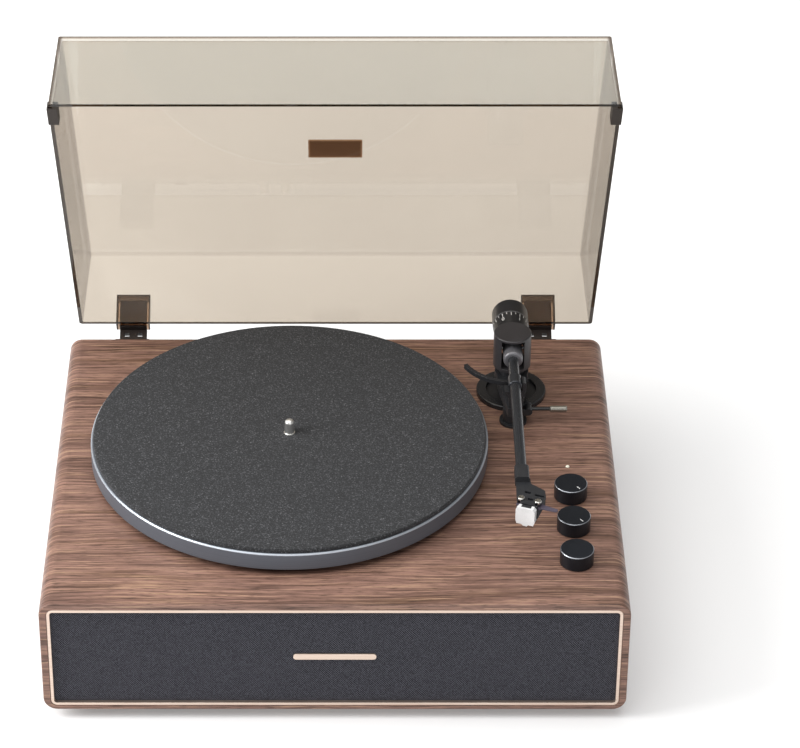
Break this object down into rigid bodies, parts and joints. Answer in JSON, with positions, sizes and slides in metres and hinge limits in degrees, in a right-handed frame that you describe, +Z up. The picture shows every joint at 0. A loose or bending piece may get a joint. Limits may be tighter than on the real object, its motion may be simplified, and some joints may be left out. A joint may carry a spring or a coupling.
{
  "type": "record player",
  "caption": "Belt-driven record player in a veneered wooden cabinet with built-in speakers, a hinged clear lid, a straight tonearm and knobs.",
  "frame": {"origin": "on the surface the feet stand on, under the middle of the whole player with its lid open", "axes": "+X to the player's right, +Y to its back, +Z up"},
  "size_m": [0.424, 0.4102, 0.4277],
  "materials": {
    "walnut_veneer": "satin walnut veneer on fibreboard",
    "baffle_board": "black painted fibreboard",
    "gold_trim": "champagne anodised, satin",
    "grille_weave": "woven speaker cloth",
    "back_board": "black painted fibreboard",
    "basket_steel": "pressed and painted",
    "cone_paper": "pressed paper pulp",
    "magnet_ferrite": "sintered ferrite",
    "zinc_steel": "zinc plated",
    "black_steel": "black oxide",
    "foot_rubber": "moulded",
    "socket_plastic": "moulded",
    "socket_metal": "nickel plated",
    "board_resin": "green solder mask",
    "nylon_white": "moulded nylon",
    "led_lens": "clear lens",
    "bearing_brass": "turned brass",
    "motor_steel": "zinc plated can",
    "belt_rubber": "ground rubber",
    "arm_black": "satin black coat",
    "arm_plastic": "moulded, fine texture",
    "tube_black": "black anodised tube",
    "platter_rim": "cast and turned, satin",
    "mat_black": "pressed felt and rubber",
    "sub_abs": "moulded",
    "spindle_chrome": "polished",
    "pulley_brass": "turned brass",
    "smoked_acrylic": "clear smoked acrylic",
    "badge_copper": "brown anodised plate",
    "pocket_acrylic": "clear brown acrylic",
    "hinge_nylon": "glass filled nylon",
    "axle_steel": "ground steel",
    "cartridge_black": "moulded",
    "stylus_white": "moulded",
    "screw_chrome": "polished",
    "weight_steel": "satin black steel",
    "dial_plastic": "moulded with white print",
    "lever_steel": "black rod, bright grip",
    "knob_black": "black anodised, bright cut edge"
  },
  "bodies": {
    "cabinet": {"cabinet_shell": "walnut_veneer", "front_baffle": "baffle_board", "grille_trim": "gold_trim", "grille_cloth": "grille_weave", "grille_badge": "gold_trim", "speaker_baskets": "basket_steel", "speaker_cones": "cone_paper", "speaker_magnets": "magnet_ferrite", "back_panel": "back_board", "case_screws": "zinc_steel", "rubber_feet": "foot_rubber", "foot_screws": "zinc_steel", "dc_inlet": "socket_plastic", "rca_sockets": "socket_metal", "aux_socket": "socket_plastic", "amplifier_board": "board_resin", "board_standoffs": "nylon_white", "knob_pots": "basket_steel", "mode_encoder": "basket_steel", "panel_nuts": "zinc_steel", "pilot_led": "led_lens", "bearing_housing": "bearing_brass", "motor_body": "motor_steel", "motor_grommets": "foot_rubber", "drive_belt": "belt_rubber", "arm_base_ring": "arm_black", "arm_pillar": "arm_black", "rest_bracket": "arm_plastic", "lift_column": "arm_plastic", "hinge_brackets": "hinge_nylon", "hinge_pins": "axle_steel", "hinge_screws": "black_steel"},
    "platter_body": {"platter": "platter_rim", "platter_mat": "mat_black", "sub_platter": "sub_abs", "spindle": "spindle_chrome"},
    "pulley_body": {"motor_pulley": "pulley_brass"},
    "lid_body": {"lid": "smoked_acrylic", "lid_badge": "badge_copper", "lid_bumpers": "foot_rubber", "hinge_arms": "hinge_nylon", "hinge_pockets": "pocket_acrylic"},
    "yoke_body": {"arm_yoke": "arm_black"},
    "axle_body": {"arm_axle": "axle_steel"},
    "arm_body": {"pivot_collar": "arm_plastic", "arm_tube": "tube_black", "headshell": "arm_plastic", "finger_lift": "arm_black", "cartridge_body": "cartridge_black", "stylus_assembly": "stylus_white", "cartridge_screws": "screw_chrome"},
    "insert_body": {"weight_insert": "nylon_white"},
    "weight_body": {"counterweight": "weight_steel"},
    "dial_body": {"force_dial": "dial_plastic"},
    "lever_body": {"cue_lever": "lever_steel"},
    "lift_body": {"lift_bar": "arm_black"},
    "volume_body": {"volume_knob": "knob_black"},
    "tone_body": {"tone_knob": "knob_black"},
    "plunger_body": {"mode_plunger": "nylon_white"},
    "mode_body": {"mode_knob": "knob_black"}
  },
  "joints": [
    {"name": "platter_spin", "type": "hinge", "parent": "cabinet", "child": "platter_body", "pos_m": [-0.0345, -0.02113, 0.11], "axis": [0, 0, -1], "continuous": true},
    {"name": "pulley_spin", "type": "hinge", "parent": "cabinet", "child": "pulley_body", "pos_m": [-0.08753, 0.03191, 0.1095], "axis": [0, 0, -1], "continuous": true},
    {"name": "lid_open", "type": "hinge", "parent": "cabinet", "child": "lid_body", "pos_m": [0, 0.14807, 0.0923], "axis": [-1, 0, 0], "range_deg": [-61, 0]},
    {"name": "arm_swing", "type": "hinge", "parent": "cabinet", "child": "yoke_body", "pos_m": [0.1368, 0.06537, 0.1465], "axis": [0, 0, -1], "range_deg": [0, 48]},
    {"name": "arm_lift", "type": "hinge", "parent": "yoke_body", "child": "axle_body", "pos_m": [0.1368, 0.06537, 0.1465], "axis": [-1, 0, 0], "range_deg": [0, 2.19]},
    {"name": "arm_tilt", "type": "hinge", "parent": "axle_body", "child": "arm_body", "pos_m": [0.1368, 0.06537, 0.1465], "axis": [-1, 0, 0], "range_deg": [0, 10]},
    {"name": "weight_slide", "type": "slide", "parent": "arm_body", "child": "insert_body", "axis": [0, 1, 0], "range_m": [-0.00201, 0.00201]},
    {"name": "weight_spin", "type": "hinge", "parent": "insert_body", "child": "weight_body", "pos_m": [0.1368, 0.06537, 0.1465], "axis": [0, 1, 0], "range_deg": [-360, 360]},
    {"name": "dial_spin", "type": "hinge", "parent": "weight_body", "child": "dial_body", "pos_m": [0.1368, 0.06537, 0.1465], "axis": [0, 1, 0], "continuous": true},
    {"name": "lever_flip", "type": "hinge", "parent": "cabinet", "child": "lever_body", "pos_m": [0.1482, 0.02557, 0.1165], "axis": [0, -1, 0], "range_deg": [0, 45]},
    {"name": "lift_rise", "type": "slide", "parent": "cabinet", "child": "lift_body", "axis": [0, 0, 1], "range_m": [0, 0.00153]},
    {"name": "volume_turn", "type": "hinge", "parent": "cabinet", "child": "volume_body", "pos_m": [0.1755, -0.07293, 0.1057], "axis": [0, 0, -1], "range_deg": [-291, 9]},
    {"name": "tone_turn", "type": "hinge", "parent": "cabinet", "child": "tone_body", "pos_m": [0.1755, -0.11353, 0.1057], "axis": [0, 0, -1], "range_deg": [-291, 9]},
    {"name": "mode_push", "type": "slide", "parent": "cabinet", "child": "plunger_body", "axis": [0, 0, -1], "range_m": [0, 0.0006], "stiffness_N_per_m": 600, "springref_m": -0.0006},
    {"name": "mode_turn", "type": "hinge", "parent": "plunger_body", "child": "mode_body", "pos_m": [0.1755, -0.15433, 0.1057], "axis": [0, 0, -1], "continuous": true}
  ],
  "couplings": [
    {"joint": "pulley_spin", "follows": "platter_spin", "ratio": 9},
    {"joint": "weight_slide", "follows": "weight_spin", "m_per_rad": 0.00031831},
    {"joint": "lever_flip", "follows": "arm_lift", "ratio": 20.557},
    {"joint": "lift_rise", "follows": "arm_lift", "m_per_rad": 0.0398}
  ]
}
